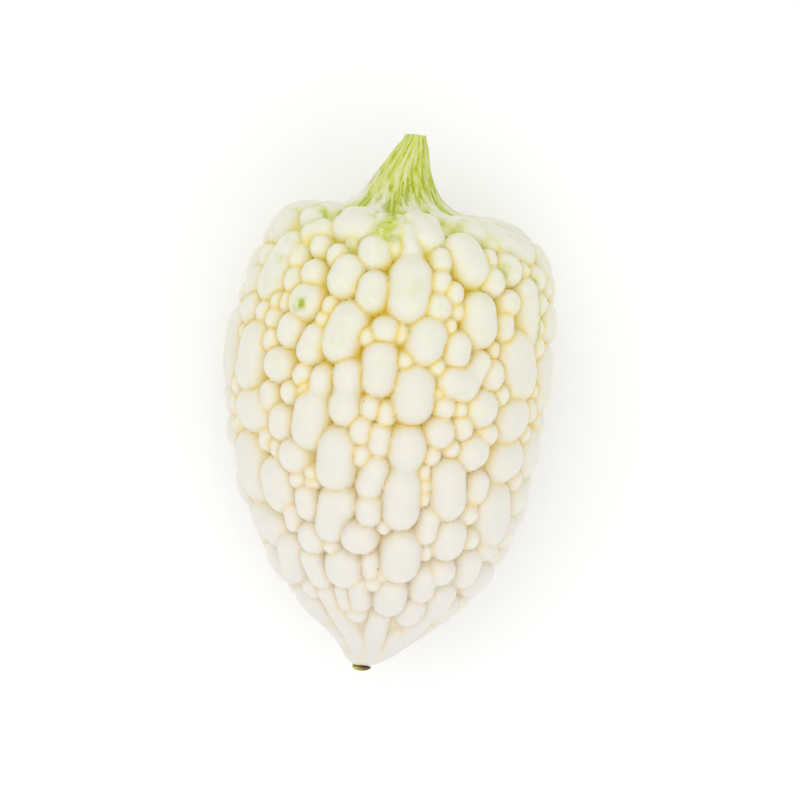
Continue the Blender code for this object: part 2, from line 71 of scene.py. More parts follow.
# Warts on the upper side as they look from above, each (around, up, wide, long, lean): mm round from
# the middle line, mm up the outline from the tip, width, length, and lean in degrees to the right
UPPER_WARTS = (
    # Shoulder
    (-24.3, 125.5, 4.6, 6.6, 20), (-13.5, 123.8, 2.0, 2.0, 0), (-29.7, 107.2, 3.2, 4.5, 0),
    (-22.4, 122.0, 5.0, 5.6, 10), (-23.6, 114.8, 6.6, 6.8, 0), (-17.4, 120.0, 5.0, 5.6, 0),
    (-17.2, 107.3, 3.0, 4.0, 0), (14.8, 109.0, 2.6, 3.0, 0), (13.6, 105.2, 2.6, 3.0, 0),
    # Upper belly
    (-12.2, 101.5, 9.6, 15.2, 12), (-26.6, 100.5, 7.4, 8.8, 0),
    (-32.8, 102.6, 4.7, 5.2, 0), (-32.2, 97.2, 4.6, 5.6, 0), (-19.8, 97.7, 6.7, 10.4, 20),
    (-2.0, 103.0, 6.8, 5.9, 0), (8.6, 101.3, 9.7, 12.2, 12),
    (16.8, 99.6, 7.0, 9.0, 0), (-28.9, 91.6, 9.4, 8.6, 0), (-21.6, 90.1, 4.6, 5.6, 35),
    (-2.0, 93.6, 8.7, 13.6, 0), (1.8, 102.5, 2.5, 3.5, 0), (13.0, 89.0, 2.4, 2.2, 0),
    # Belly
    (-31.4, 83.4, 5.4, 7.8, 0), (-25.0, 85.3, 4.7, 5.2, 0), (-27.2, 77.6, 7.0, 8.8, 10),
    (-32.0, 72.9, 4.3, 5.8, 20), (-23.0, 69.8, 8.8, 8.8, 0),
    (-11.5, 70.2, 10.2, 16.2, 6), (-5.5, 78.2, 5.2, 6.4, 0), (-3.5, 83.9, 4.0, 5.0, 0),
    (0.4, 82.8, 3.5, 5.0, 0), (-0.8, 76.3, 5.1, 7.4, 0), (-4.9, 72.1, 4.0, 4.9, 0),
    (-2.2, 66.8, 6.3, 11.2, 18), (7.0, 88.1, 10.7, 14.6, 0), (14.9, 85.6, 5.2, 5.2, 0),
    (25.2, 85.9, 10.0, 9.6, 0), (14.2, 79.3, 7.6, 7.4, 0), (20.2, 81.1, 4.8, 6.0, -25),
    (23.6, 74.9, 9.6, 8.6, -30), (17.4, 65.2, 9.6, 16.4, -11), (25.6, 66.0, 6.3, 8.4, 5),
    (-20.8, 86.5, 2.5, 4.0, 25), (-28.7, 71.0, 2.8, 4.0, 0), (-17.9, 66.0, 2.8, 2.5, 0),
    (-17.6, 63.8, 3.2, 1.8, 0), (12.5, 73.5, 3.5, 4.0, 30), (10.8, 69.0, 2.0, 3.0, 0),
    (10.9, 66.0, 2.0, 3.0, 0), (10.9, 62.8, 2.0, 3.3, 0), (24.5, 62.6, 3.0, 2.2, 0),
    # Lower belly
    (-28.2, 61.4, 10.8, 14.6, -4), (-19.0, 58.2, 5.9, 8.8, 0),
    (-2.8, 58.4, 6.2, 8.2, 0), (1.0, 54.3, 2.2, 2.8, 0), (11.8, 48.0, 2.2, 3.5, 0),
    (-23.4, 53.8, 4.5, 8.0, 5), (-17.6, 48.8, 7.7, 8.5, 0),
    (-5.2, 50.6, 9.6, 8.4, 0), (12.2, 55.4, 4.8, 9.2, 5), (18.0, 52.0, 9.7, 11.8, 0),
    (5.4, 46.2, 10.3, 15.0, 0), (24.4, 43.8, 8.0, 12.2, -15), (1.0, 40.7, 2.0, 3.5, 0),
    (-16.6, 40.0, 6.2, 11.8, -8), (-9.0, 41.0, 9.8, 11.4, 0),
    (-2.1, 42.8, 3.6, 6.8, 0), (11.6, 38.4, 6.4, 11.0, -8), (16.2, 42.6, 8.0, 7.6, 0),
    # Blossom end
    (3.2, 33.2, 8.2, 12.0, 0), (16.7, 32.8, 8.3, 12.5, -13), (9.0, 28.4, 6.6, 9.4, -5),
    (-4.6, 33.6, 4.8, 11.0, 0), (-12.4, 30.4, 4.8, 9.4, -6), (-8.5, 31.5, 3.0, 8.0, 0),
    (-6.2, 18.8, 5.6, 20.0, -10), (0.8, 16.4, 4.6, 20.0, -2), (8.0, 15.6, 5.4, 17.0, 8),
    (-13.0, 18.4, 6.2, 14.0, -12),
)

# Warts that have grown together: lobes of one wart, each as above
JOINED_WARTS = (
    ((1.9, 113.6, 10.9, 16.8, -3), (1.4, 126.5, 4.8, 11.0, 0)),
    ((-12.3, 55.8, 7.8, 14.6, 16), (-9.0, 59.6, 5.6, 6.4, 0)),
    ((-9.6, 91.0, 7.4, 8.4, 0), (-9.9, 83.2, 7.9, 8.4, 0)),
    ((-18.9, 79.2, 9.4, 14.8, 12), (-16.3, 89.4, 5.7, 7.0, 10)),
    ((18.0, 91.5, 8.0, 11.6, 100), (23.2, 96.0, 5.4, 7.8, 30)),
    ((6.2, 74.9, 9.6, 10.8, 0), (5.3, 61.8, 9.5, 15.8, 0)),
)

# Warts at the shoulder and at the edges of that view, each (turn, up, wide, long, lean), the turn
# in degrees
EDGE_WARTS = (
    # Shoulder
    (-23.5, 131.0, 12.0, 9.5, 0), (11.0, 130.6, 9.0, 10.5, 5), (-5.0, 125.7, 3.4, 5.4, 0),
    (-10.0, 133.0, 3.8, 13.0, 6), (-2.5, 133.5, 3.6, 12.0, 3),
    (-13.0, 123.0, 8.4, 9.2, 0), (-11.2, 112.4, 7.6, 10.1, 0), (-23.2, 115.6, 8.6, 11.4, 12),
    (-48.0, 118.9, 5.4, 7.0, -20), (-46.0, 112.9, 5.8, 6.8, -15), (-37.0, 108.0, 9.8, 9.6, 0),
    (15.0, 122.4, 4.3, 6.2, 0), (14.8, 116.2, 4.6, 5.9, 0), (20.0, 113.6, 4.9, 5.5, 0),
    (14.8, 109.8, 6.4, 6.7, 0),
    # Left edge
    (-74.0, 127.5, 13.0, 12.0, 0), (-43.0, 127.1, 10.0, 6.0, -32), (-58.0, 116.0, 11.5, 20.0, 16),
    (-86.0, 115.3, 8.0, 11.0, 0), (-86.0, 107.4, 7.5, 6.5, 0), (-80.0, 94.0, 11.0, 23.0, 8),
    (-60.0, 92.2, 12.2, 19.5, 15), (-58.0, 78.9, 16.0, 11.4, 0), (-68.0, 63.5, 19.0, 20.0, 8),
    (-63.0, 48.9, 16.0, 11.0, 24), (-54.0, 40.0, 9.0, 16.5, 26), (-73.0, 37.0, 12.0, 13.5, -5),
    (-65.0, 24.0, 11.0, 14.0, 14),
    # Right edge
    (27.5, 123.8, 9.5, 15.6, -12), (43.0, 128.5, 4.0, 4.3, 0), (38.0, 123.9, 3.8, 5.3, 7),
    (37.5, 117.6, 7.0, 7.3, -9), (47.5, 121.4, 8.0, 8.8, -6), (58.0, 129.5, 20.0, 12.0, 25),
    (78.0, 123.5, 9.0, 13.0, 0), (77.0, 117.3, 6.5, 7.5, 0), (58.0, 110.2, 8.0, 18.0, -10),
    (77.0, 107.4, 10.0, 11.0, -10), (46.0, 112.1, 6.6, 6.6, -11), (45.0, 106.2, 4.6, 7.1, -7),
    (32.5, 107.4, 9.7, 14.0, -15), (41.0, 100.1, 2.0, 3.3, 0), (56.0, 96.3, 14.0, 19.5, -28),
    (79.0, 92.8, 12.0, 20.0, -10), (41.0, 94.0, 7.0, 7.8, -15), (69.0, 84.9, 4.0, 6.5, -40),
    (78.0, 81.2, 5.0, 6.0, 0), (55.5, 82.9, 13.4, 12.0, -27), (42.0, 78.9, 6.4, 5.6, -15),
    (56.0, 72.2, 14.0, 11.0, -19), (77.0, 73.8, 13.0, 14.5, -15), (75.0, 62.0, 11.0, 10.0, -10),
    (57.0, 57.5, 14.0, 19.5, -32), (73.0, 52.8, 9.0, 9.5, -10), (59.0, 47.9, 9.5, 6.0, 7),
    (70.0, 37.8, 12.0, 10.5, 0), (62.0, 26.3, 7.0, 12.0, -40), (43.0, 20.5, 6.5, 13.0, 0),
    (47.0, 12.0, 7.5, 15.0, -28),
)

# How the warts seen from above are read: their feet lie at this share of the creases' depth under the
# outline, the view looks down this much towards the tip, and no wart is set past this sine of the turn
SEEN_DEPTH = 0.5
VIEW_PITCH = math.radians(5.0)
SEEN_LIMIT = 0.985

# Ribs round the stem: turn in degrees, and mm up the outline where each begins and ends. The long
# ones climb the stem, and the short ones between them die out at its foot. Their widths are given as
# (up, width), and each rib is made of lobes about as long as the step
LONG_RIB_END = 166.0
SHORT_RIB_END = 141.0
STEM_RIBS = (
    (-76.0, 134.5, LONG_RIB_END), (-51.0, 133.0, SHORT_RIB_END), (-25.0, 132.0, LONG_RIB_END),
    (11.5, 132.0, LONG_RIB_END), (39.0, 132.5, LONG_RIB_END), (57.0, 137.0, SHORT_RIB_END),
    (82.0, 133.0, LONG_RIB_END), (105.0, 129.0, SHORT_RIB_END), (129.0, 126.0, LONG_RIB_END),
    (152.0, 130.0, SHORT_RIB_END), (176.0, 128.0, LONG_RIB_END), (-154.0, 129.5, SHORT_RIB_END),
    (-128.0, 126.5, LONG_RIB_END), (-102.0, 129.5, SHORT_RIB_END),
)
RIB_WIDTHS = ((127.0, 8.4), (138.0, 6.4), (148.0, 3.6), (166.0, 1.8))
RIB_STEP = 6.0

# Warts under the weight, which the fruit rests on: mm along to the middle of them, and each one's
# (around, up, wide, long, lean) from there
REST_ALONG = 62.5
REST_WARTS = (
    (-6.8, -7.0, 11.5, 14.0, 6), (6.6, -8.6, 12.0, 12.5, -8),
    (-6.4, 8.4, 12.0, 13.5, -5), (6.9, 6.8, 11.0, 15.0, 10),
)

# Warts on the underside, drawn at random with a fixed seed: the turn in degrees where they begin,
# how far up the outline they lie, and their widths on the belly from the first drawn to the last
UNDER_SEED = 7
UNDER_TRIES = 5000
UNDER_EDGE = 58.0
UNDER_SPAN = (26.0, 124.0)
UNDER_WIDTHS = (12.0, 4.5)

# How the width of each varies, the power of the radius that it shrinks with, its length as a share of
# its width, its greatest lean in degrees, and the room that it needs as a share of its width
UNDER_VARIATION = (0.85, 1.1)
UNDER_NARROWING = 0.4
UNDER_LENGTHS = (1.0, 1.7)
UNDER_LEAN = 22.0
UNDER_ROOM = 0.47

# Long low ridges that run into the tip on the underside, this many degrees in from where it begins
TIP_RIDGES = 9
RIDGE_MARGIN = 10.0
RIDGE_SPAN = (5.0, 24.0)
RIDGE_HALF_WIDTH = 2.4

# Small round warts that fill what gaps are left: where they may lie, in mm up the outline, the steps
# of the search, in degrees and mm, the least gap that gets one, and its radius as a share of the gap
GAP_SPAN = (24.0, 124.0)
GAP_STEPS = (1.5, 1.0)
LEAST_GAP = 1.5
GAP_FILL = 1.12

# Softness of the corners where lobes of a wart meet, and how far past its edge a wart is felt, in mm
CORNER_SOFTNESS = 1.1
WART_REACH = 4.0

# Shape of the domes: how many mm they run on under each other, where their even slope begins as a
# share of the way out, the width in mm from which they are of full height, how much the narrower ones
# rise and drop, and how far the creases are rounded, as a share of their depth
OVERLAP = 0.8
RIM_START = 0.93
FULL_HEIGHT_WIDTH = 8.5
HEIGHT_POWER = 0.8
SMALL_DROP = 0.6
CREASE_SOFTNESS = 0.03

# How the fruit lies: stem end raised, the middle of its box over the origin, its axis at the tip
# this high, and nothing under the surface it lies on
MM = 0.001
LIE_TILT = math.radians(8.0)
CENTRE_ACROSS = 0.65
CENTRE_ALONG = -66.3
REST_HEIGHT = 29.8

# Green marks on the skin, each (turn, up, wide, long, lean, strength): a spot on a wart, a streak in
# the furrow at the right edge, and stains between the warts of the shoulder. The last three hold the
# green back from ribs of the stem
GREEN_MARKS = (
    (-34.8, 107.0, 0.8, 1.1, 0, 1.0), (-37.0, 106.2, 0.6, 1.2, 40, 0.7), (60.5, 111.0, 1.4, 15.0, -3, 0.8),
    (35.5, 128.0, 3.0, 2.4, 20, 0.4), (42.0, 120.0, 1.2, 4.0, 25, 0.45), (-23.5, 123.6, 1.0, 1.4, 0, 0.4),
    (-47.0, 134.5, 1.6, 12.0, 100, 0.8), (30.5, 134.0, 2.0, 6.0, 60, 0.5), (-53.5, 117.0, 0.8, 1.0, 0, 0.4),
    (-64.2, 90.8, 0.8, 1.6, 0, 0.4), (-17.8, 100.5, 3.0, 5.0, 20, 0.08), (-8.5, 137.0, 2.8, 22.0, 4, 1.0),
    (-3.5, 139.0, 2.4, 18.0, 6, 1.0), (-5.5, 126.5, 3.0, 3.0, 0, 0.5),
    (-72.0, 147.0, 7.0, 26.0, 0, -0.9), (-25.0, 140.0, 4.0, 14.0, 0, -0.7), (12.0, 139.0, 4.0, 12.0, 0, -0.6),
)
MARK_SOFTNESS = 2.0

# Brown specks that sit in creases, each (turn, up), and how deep they lie under the outline in mm. In
# metres, how rough their edges are, and how far from the middle the brown begins and is full
SPECKS = (
    (-49.2, 86.8), (-73.5, 77.2), (-7.3, 85.0), (-7.0, 82.2), (4.2, 98.2), (-0.8, 41.2), (41.5, 60.2),
    (30.0, 55.2), (-48.8, 49.5), (55.0, 22.5), (42.8, 116.2), (51.2, 52.0),
)
SPECK_SINK = 2.5
SPECK_ROUGHNESS = 0.0004
SPECK_EDGE = (0.000624, 0.000312)

# Where the pod ends, in mm along the axis, and the grid of its skin
TIP_DISC = 0.7
STEM_FOOT = 118.3
SKIN_SEGMENTS = 440
POD_RINGS = 224
SHARP_ANGLE = math.radians(60.0)

# Fibres of the skin are noise on a cylinder: its radius, and how far they are drawn out along it
FIBRE_RADIUS = 6.0
FIBRE_STRETCH = 8.0

outline = np.array(OUTLINE)
bend = np.array(BEND)
crease_depth = np.array(CREASE_DEPTH)

# How far up the outline each of its points lies, chord by chord, and the steps of a search along it
UP_STEPS = 4000
outline_up = np.concatenate([[0.0], np.cumsum(np.hypot(*np.diff(outline, axis=0).T))])


def smooth_curve(at, knots, values):
    """A cubic through the knots, whose slope at each is that of a parabola through its neighbours."""
    slopes = np.gradient(values, knots)
    last = np.clip(np.searchsorted(knots, at) - 1, 0, len(knots) - 2)
    following = last + 1
    span = knots[following] - knots[last]
    part = (np.clip(at, knots[0], knots[-1]) - knots[last]) / span
    rest = 1 - part
    start = (1 + 2 * part) * rest**2 * values[last] + part * rest**2 * span * slopes[last]
    end = part * part * (3 - 2 * part) * values[following] - part * part * rest * span * slopes[following]
    return start + end


def radius_at(up):
    return np.maximum(smooth_curve(up, outline_up, outline[:, 1]), 0.0)


def along_at(up):
    return smooth_curve(up, outline_up, outline[:, 0])


def up_at(along):
    """Way up the outline to the first place that is as far along the axis, found in small steps."""
    steps = np.linspace(0.0, outline_up[-1], UP_STEPS)
    return float(steps[np.argmax(along_at(steps) >= along)])


def outline_point(turn, up):
    """Point over the wart tops: the outline's radius at that turn round the bent axis."""
    turn, up = np.broadcast_arrays(np.asarray(turn, float), np.asarray(up, float))
    along = along_at(up)
    radius = radius_at(up)
    across = smooth_curve(along, bend[:, 0], bend[:, 1]) + radius * np.sin(turn)
    return np.stack([across, along, radius * np.cos(turn)], axis=-1)


def outline_normal(turn, up):
    """Outward direction: the outline's tangent turned a quarter, then carried round the axis."""
    step = 0.2
    lift = along_at(up + step) - along_at(up - step)
    spread = radius_at(up + step) - radius_at(up - step)
    size = np.hypot(lift, spread)
    outward, forward = lift / size, -spread / size
    return np.stack([outward * np.sin(turn), forward, outward * np.cos(turn)], axis=-1)


def lobe(around, up, wide, long, lean):
    """One lobe of a wart: the two ends of its spine, and its half width."""
    turn_per_mm = 1.0 / float(radius_at(np.array(up)))
    narrow = min(wide, long)
    half = abs(long - wide) / 2
    lean = math.radians(lean if long >= wide else lean + 90.0)
    step = np.array([half * math.sin(lean), half * math.cos(lean)])
    low = outline_point((around - step[0]) * turn_per_mm, up - step[1])
    high = outline_point((around + step[0]) * turn_per_mm, up + step[1])
    return low, high, narrow / 2


def seen_lobe(around, up, wide, long, lean):
    """A lobe given by where it is seen from above, set where it really is.

    Its foot lies at the depth of the creases, which look nearer the middle of the view than the
    outline over them does, by the depth times the sine of the slope there. It is moved back out by
    as much along the skin, round the fruit and along it.
    """
    depth = SEEN_DEPTH * float(np.interp(up, crease_depth[:, 0], crease_depth[:, 1]))
    radius = float(radius_at(np.array(up)))
    sine = math.sin(around / radius) * radius / (radius - depth)
    turn = math.asin(np.clip(sine, -SEEN_LIMIT, SEEN_LIMIT))
    _, forward, outward = outline_normal(0.0, np.array(up))
    climb = math.atan2(forward, outward) - VIEW_PITCH
    return lobe(turn * radius, up + depth * math.tan(climb), wide, long, lean)


def edge_lobe(turn, up, wide, long, lean):
    return lobe(math.radians(turn) * float(radius_at(np.array(up))), up, wide, long, lean)


def rib(turn, begin, end):
    """One rib of the stem: short lobes end to end along the outline, narrower as they climb."""
    marks = np.linspace(begin, end, max(3, round((end - begin) / RIB_STEP)))
    widths = np.interp(marks, *np.array(RIB_WIDTHS).T)
    turn = math.radians(turn)
    return [
        (outline_point(turn, low), outline_point(turn, high), width / 2)
        for low, high, width in zip(marks, marks[1:], widths)
    ]


def distance_to_lobes(points, lobes):
    """Distance from each point, down, to each lobe, across, less its half width: below zero inside.

    It is taken to the nearest place on the lobe's spine, which has no length if the lobe is round.
    """
    starts, ends, half_widths = (np.array(part) for part in zip(*lobes))
    runs = ends - starts
    away = points[:, None] - starts
    share = np.sum(away * runs, axis=2) / np.maximum(np.sum(runs**2, axis=1), 1e-9)
    return np.linalg.norm(away - np.clip(share, 0.0, 1.0)[..., None] * runs, axis=2) - half_widths


def distance_to_wart(points, lobes):
    """Least distance to a wart's lobes, smoothed where they meet."""
    nearness = np.exp(-distance_to_lobes(points, lobes) / CORNER_SOFTNESS).sum(axis=1)
    return -CORNER_SOFTNESS * np.log(np.maximum(nearness, 1e-280))


def tip_ridges():
    """The ridges at the tip, evenly round the part that the listed warts leave free."""
    first = UNDER_EDGE + RIDGE_MARGIN
    turns = np.radians(np.linspace(first, 360.0 - first, TIP_RIDGES))
    low, high = RIDGE_SPAN
    return [[(outline_point(turn, low), outline_point(turn, high), RIDGE_HALF_WIDTH)] for turn in turns]


def rest_warts():
    """The warts on the lowest line, which is half a turn from the middle line of the upper side."""
    warts = []
    for around, forward, *size in REST_WARTS:
        up = up_at(REST_ALONG) + forward
        lowest = math.pi * float(radius_at(np.array(up)))
        warts.append([lobe(lowest + around, up, *size)])
    return warts


def underside_warts(warts):
    """Warts thrown at the unseen side, the largest first, each kept where it fits between the rest."""
    draw = np.random.default_rng(UNDER_SEED)
    lobes = [spine for wart in warts for spine in wart]
    listed = len(lobes)
    for attempt in range(UNDER_TRIES):
        up = draw.uniform(*UNDER_SPAN)
        radius = float(radius_at(np.array(up)))
        turn = math.radians(draw.uniform(UNDER_EDGE, 360.0 - UNDER_EDGE))
        wide = np.interp(attempt, (0, UNDER_TRIES), UNDER_WIDTHS) * draw.uniform(*UNDER_VARIATION)
        wide *= (radius / outline[:, 1].max()) ** UNDER_NARROWING
        long = wide * draw.uniform(*UNDER_LENGTHS)
        spine = lobe(turn * radius, up, wide, long, draw.uniform(-UNDER_LEAN, UNDER_LEAN))
        checks = np.array([spine[0], (spine[0] + spine[1]) / 2, spine[1]])
        if distance_to_lobes(checks, lobes).min() > UNDER_ROOM * wide:
            lobes.append(spine)
    return [[spine] for spine in lobes[listed:]]


def gap_warts(warts):
    """Small round warts, each in the middle of the widest gap that is left, as wide as that gap."""
    turn_step, up_step = GAP_STEPS
    turns = np.radians(np.arange(-180.0, 180.0, turn_step))
    turn, up = np.meshgrid(turns, np.arange(*GAP_SPAN, up_step))
    places = outline_point(turn, up).reshape(-1, 3)
    room = np.min([distance_to_wart(places, wart) for wart in warts], axis=0)
    added = []
    while room.max() > LEAST_GAP:
        widest = int(np.argmax(room))
        wart = [(places[widest], places[widest], GAP_FILL * room[widest])]
        added.append(wart)
        room = np.minimum(room, distance_to_wart(places, wart))
    return added


def all_warts():
    """Every wart and rib as a list of its lobes, the small ones that fill the gaps last."""
    warts = [[seen_lobe(*size)] for size in UPPER_WARTS]
    warts += [[seen_lobe(*size) for size in joined] for joined in JOINED_WARTS]
    warts += [[edge_lobe(*size)] for size in EDGE_WARTS]
    warts += [rib(*place) for place in STEM_RIBS]
    warts += tip_ridges()
    warts += rest_warts()
    warts += underside_warts(warts)
    return warts + gap_warts(warts)


def relief(points, warts):
    """How far each point lies under the outline, and how much further the next dome there does.

    Both are shares of the crease depth, and the second is 0 in a crease and grows away from it.
    Each wart is a dome whose depth under the outline is top + rise * (1 - sqrt(1 - x * x)), where
    x goes from 0 on its spine to 1 a little past its edge, and which goes on down at an even slope
    from RIM_START on. The skin is the highest of the domes, or the floor at a share of 1, with the
    creases where they meet a little rounded. Narrow warts rise less and stand lower.
    """
    first, second = np.ones((2, len(points)))
    total = np.full(len(points), math.exp(-1.0 / CREASE_SOFTNESS))
    rim_slope = RIM_START / math.sqrt(1 - RIM_START**2)
    for wart in warts:
        centre = np.mean([spine[0] + spine[1] for spine in wart], axis=0) / 2
        reach = max(np.linalg.norm(spine[0] - centre) + spine[2] for spine in wart) + WART_REACH
        near = np.flatnonzero(np.linalg.norm(points - centre, axis=1) < reach)
        half_width = max(spine[2] for spine in wart)
        x = np.maximum(distance_to_wart(points[near], wart) + half_width, 0.0) / (half_width + OVERLAP)
        inner = np.minimum(x, RIM_START)
        fall = 1 - np.sqrt(1 - inner**2) + (x - inner) * rim_slope
        rise = min(1.0, (2 * half_width / FULL_HEIGHT_WIDTH) ** HEIGHT_POWER)
        depth = (1 - rise) * SMALL_DROP + rise * fall
        total[near] += np.exp(-depth / CREASE_SOFTNESS)
        second[near] = np.minimum(second[near], np.maximum(first[near], depth))
        first[near] = np.minimum(first[near], depth)
    return np.maximum(-CREASE_SOFTNESS * np.log(total), 0.0), second - first


def green_marks(points):
    """Sum of the marks at each point: strength * (1 - away / softness) squared, away from its edge."""
    green = np.zeros(len(points))
    for *place, strength in GREEN_MARKS:
        away = distance_to_lobes(points, [edge_lobe(*place)])[:, 0]
        green += strength * np.clip(1 - away / MARK_SOFTNESS, 0.0, 1.0) ** 2
    return green


def lay_down(points):
    """Turn the stem end up from level, set the fruit on the surface and press its underside flat."""
    across, along, out = points.T
    forward = along * math.cos(LIE_TILT) - out * math.sin(LIE_TILT) + CENTRE_ALONG
    height = along * math.sin(LIE_TILT) + out * math.cos(LIE_TILT) + REST_HEIGHT
    return np.stack([across + CENTRE_ACROSS, forward, np.maximum(height, 0.0)], axis=1) * MM


def closed_body(name, rings, segments, first_pole, last_pole):
    """Mesh of a surface given ring by ring: quads between rings, and a fan to a pole at each end.

    It is shaded smooth, but not over edges that turn by more than SHARP_ANGLE.
    """
    count = len(rings) // segments
    base = np.arange(count - 1)[:, None] * segments
    here = np.arange(segments)[None, :]
    beyond = (here + 1) % segments
    quads = np.stack([base + here, base + beyond, base + segments + beyond, base + segments + here], axis=-1)
    last_ring = (count - 1) * segments
    poles = len(rings), len(rings) + 1
    fan = np.arange(segments)
    after = (fan + 1) % segments
    start_fan = np.stack([after, fan, np.full(segments, poles[0])], axis=-1)
    end_fan = np.stack([last_ring + fan, last_ring + after, np.full(segments, poles[1])], axis=-1)
    points = np.concatenate([rings, [first_pole], [last_pole]])
    faces = quads.reshape(-1, 4).tolist() + start_fan.tolist() + end_fan.tolist()
    mesh = bpy.data.meshes.new(name)
    mesh.from_pydata(points.tolist(), [], faces)
    mesh.shade_smooth()
    mesh.set_sharp_from_angle(angle=SHARP_ANGLE)
    body = bpy.data.objects.new(name, mesh)
    bpy.context.scene.collection.objects.link(body)
    return body


def paint(body, name, values):
    """One number or vector for each vertex, kept as an attribute that the material reads."""
    values = np.asarray(values, np.float32)
    kind, field = ("FLOAT", "value") if values.ndim == 1 else ("FLOAT_VECTOR", "vector")
    body.data.attributes.new(name, kind, "POINT").data.foreach_set(field, values.ravel())


def skin_piece(name, first, last, rings, warts):
    """Skin between two places up the outline: a grid of turn by up, let in by the relief.

    Each pole, on the bent axis, takes the attributes of a point on the ring next to it.
    """
    turn = np.linspace(0.0, 2 * math.pi, SKIN_SEGMENTS, endpoint=False)
    turn, up = (grid.ravel() for grid in np.meshgrid(turn, np.linspace(first, last, rings)))
    points = outline_point(turn, up)
    low, apart = relief(points, warts)
    green = green_marks(points)
    depth = np.interp(up, crease_depth[:, 0], crease_depth[:, 1])
    points = points - (depth * low)[:, None] * outline_normal(turn, up)
    poles = []
    for rim in (first, last):
        along = float(along_at(rim))
        poles.append([float(smooth_curve(along, bend[:, 0], bend[:, 1])), along, 0.0])
    laid = lay_down(np.concatenate([points, poles]))
    body = closed_body(name, laid[:-2], SKIN_SEGMENTS, laid[-2], laid[-1])
    fibre = np.stack([FIBRE_RADIUS * np.sin(turn), FIBRE_RADIUS * np.cos(turn), up / FIBRE_STRETCH], axis=1)
    layers = {"low": low, "apart": apart, "up": up, "green": green, "fibre": fibre}
    for layer, values in layers.items():
        paint(body, layer, np.concatenate([values, values[[0, -1]]]))
    return body


def feed(node, sockets):
    """Gives each socket of a node its value, or the link that feeds it."""
    for name, value in sockets.items():
        if isinstance(value, Wire):
            value.tree.links.new(value.socket, node.inputs[name])
        else:
            node.inputs[name].default_value = value


class Wire:
    """A socket of a material's nodes. Arithmetic on it adds Math nodes, and node adds any other."""

    def __init__(self, tree, socket=None):
        self.tree = tree
        self.socket = socket

    def node(self, kind, settings, sockets, output=0):
        """Adds a node of that kind, its settings first and then what its sockets hold or are fed."""
        made = self.tree.nodes.new(kind)
        for name, value in settings.items():
            if name == "stops":
                for place, colour in value[len(made.color_ramp.elements):]:
                    made.color_ramp.elements.new(place)
                for stop, (place, colour) in zip(made.color_ramp.elements, value):
                    stop.position = place
                    stop.color = (*colour, 1.0)
            else:
                setattr(made, name, value)
        feed(made, sockets)
        return Wire(self.tree, made.outputs[output])

    def maths(self, operation, first, second):
        return self.node("ShaderNodeMath", {"operation": operation}, {0: first, 1: second})

    def __add__(self, other):
        return self.maths("ADD", self, other)

    def __sub__(self, other):
        return self.maths("SUBTRACT", self, other)

    def __rsub__(self, other):
        return self.maths("SUBTRACT", other, self)

    def __mul__(self, other):
        return self.maths("MULTIPLY", self, other)

    def __truediv__(self, other):
        return self.maths("DIVIDE", self, other)

    __radd__ = __add__
    __rmul__ = __mul__

    def ease(self, low, high):
        """0 up to low and 1 from high on, with a smooth step between. low may be the higher one."""
        return self.node(
            "ShaderNodeMapRange", {"interpolation_type": "SMOOTHSTEP"}, {0: self, 1: low, 2: high}
        )

    def ramp(self, stops):
        """The colour that a ramp of (place, colour) stops holds at this value."""
        return self.node("ShaderNodeValToRGB", {"stops": stops}, {0: self})

    def attribute(self, name, output=2):
        return self.node("ShaderNodeAttribute", {"attribute_name": name}, {}, output)

    def noise(self, place, scale, detail=2.0):
        return self.node("ShaderNodeTexNoise", {}, {"Vector": place, "Scale": scale, "Detail": detail})

    def blend(self, first, second, share):
        """One colour turned into another by a share that varies."""
        return self.node("ShaderNodeMix", {"data_type": "RGBA"}, {0: share, 6: first, 7: second}, 2)


def finish_of(name):
    """A new material, with a wire that starts its nodes and its Principled shader."""
    material = bpy.data.materials.new(name)
    material.use_nodes = True
    tree = material.node_tree
    return material, Wire(tree), tree.nodes["Principled BSDF"]


# Colours of the skin, linear. Those of the domes and of the creases each go from the tip, at 0, to
# FULL_UP mm up the outline, near the cut end of the stem, at 1
# Towards the tip the domes turn greyer and darker: partly the skin's own cooler tone there, partly painted
# shade where the tip turns away from the light.
DOME_COLOURS = (
    (0.0, (0.71, 0.69, 0.66)), (0.25, (0.76, 0.735, 0.68)), (0.55, (0.77, 0.75, 0.66)),
    (0.80, (0.78, 0.775, 0.66)),
)
# The crease colours are painted glow: yellower tints that stand in for light bouncing through the flesh into
# the creases.
CREASE_GLOW_COLOURS = (
    (0.0, (0.78, 0.66, 0.45)), (0.25, (0.82, 0.66, 0.34)), (0.60, (0.84, 0.65, 0.09)),
    (0.72, (0.83, 0.69, 0.11)), (0.79, (0.74, 0.72, 0.30)),
)
FULL_UP = 167.0
BLOTCH_GREEN = (0.64, 0.70, 0.36, 1.0)
STEM_GREEN = (0.59, 0.64, 0.09, 1.0)
DARK_GREEN = (0.37, 0.45, 0.010, 1.0)
PALE_FIBRE = (0.68, 0.71, 0.40, 1.0)
SPECK_BROWN = (0.22, 0.11, 0.03, 1.0)

# Where the skin turns green and where light stops going deep into it, both in mm up the outline, and
# how light goes deep: the share of it that does, and how far, red furthest
GREEN_FROM = (143.0, 163.0)
SOLID_FROM = (118.0, 130.0)
DEEP_LIGHT = {"Subsurface Weight": 0.7, "Subsurface Radius": (1.0, 0.75, 0.35), "Subsurface Scale": 0.0025}


